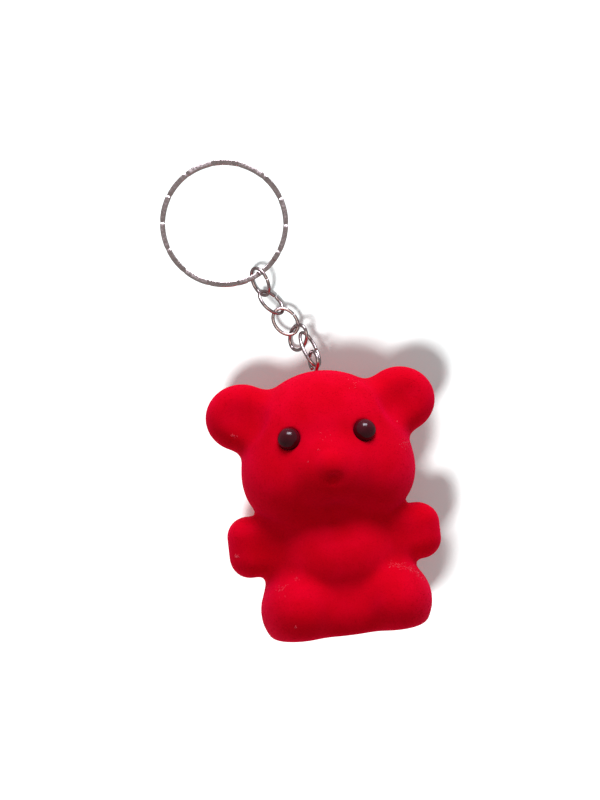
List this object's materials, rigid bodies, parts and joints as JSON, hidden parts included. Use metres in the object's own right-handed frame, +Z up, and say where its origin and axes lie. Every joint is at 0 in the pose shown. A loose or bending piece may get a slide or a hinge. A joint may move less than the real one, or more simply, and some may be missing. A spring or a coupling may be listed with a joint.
{
  "type": "plush keychain",
  "caption": "Small flocked sitting bear with bead eyes, hung by a screw eye and a short chain of loose links from a split key ring.",
  "frame": {"origin": "middle of the flat rest on the bear's back, where its torso lies on the table", "axes": "+Z up from the table and out of the bear's face, +Y from the bear's seat to its crown and the chain, +X to the bear's own left"},
  "size_m": [0.0577, 0.111, 0.0341],
  "materials": {
    "red_flock": "short dense nylon flock, velvet sheen",
    "red_vinyl": "soft moulded vinyl, matt",
    "red_plastic": "moulded plastic, smooth",
    "black_bead": "polished glossy plastic",
    "plated_steel": "bright nickel plate, lightly worn"
  },
  "bodies": {
    "bear": {"body_shell": "red_vinyl", "flock_skin": "red_flock", "seat_plug": "red_plastic", "crown_plug": "red_plastic", "screw_eye": "plated_steel", "eye_left": "black_bead", "eye_right": "black_bead"},
    "link_5": {"chain_link_5": "plated_steel"},
    "link_4": {"chain_link_4": "plated_steel"},
    "link_3": {"chain_link_3": "plated_steel"},
    "link_2": {"chain_link_2": "plated_steel"},
    "link_1": {"chain_link_1": "plated_steel"},
    "ring": {"key_ring": "plated_steel"}
  },
  "joints": [
    {"name": "link_5_on_screw_eye", "type": "hinge", "parent": "bear", "child": "link_5", "pos_m": [-0.00064, 0.04769, 0.0079], "axis": [0.9285, 0, 0.3714], "range_deg": [-30, 18]},
    {"name": "link_4_on_link_5", "type": "hinge", "parent": "link_5", "child": "link_4", "pos_m": [-0.00172, 0.05325, 0.00489], "axis": [-0.595, -0.1761, 0.7842], "range_deg": [-40, 30]},
    {"name": "link_3_on_link_4", "type": "hinge", "parent": "link_4", "child": "link_3", "pos_m": [-0.00346, 0.05459, 0.00298], "axis": [-0.4952, -0.5116, -0.7022], "range_deg": [-45, 45]},
    {"name": "link_2_on_link_3", "type": "hinge", "parent": "link_3", "child": "link_2", "pos_m": [-0.00665, 0.05935, 0.0029], "axis": [-0.9257, -0.378, -0.0154], "range_deg": [-22, 20]},
    {"name": "link_1_on_link_2", "type": "hinge", "parent": "link_2", "child": "link_1", "pos_m": [-0.00924, 0.06402, 0.00205], "axis": [-0.787, 0.0487, 0.6151], "range_deg": [-45, 45]},
    {"name": "ring_on_link_1", "type": "hinge", "parent": "link_1", "child": "ring", "pos_m": [-0.01038, 0.06784, 0.00253], "axis": [0.9062, 0.4227, 0.0044], "range_deg": [-80, 80]}
  ]
}
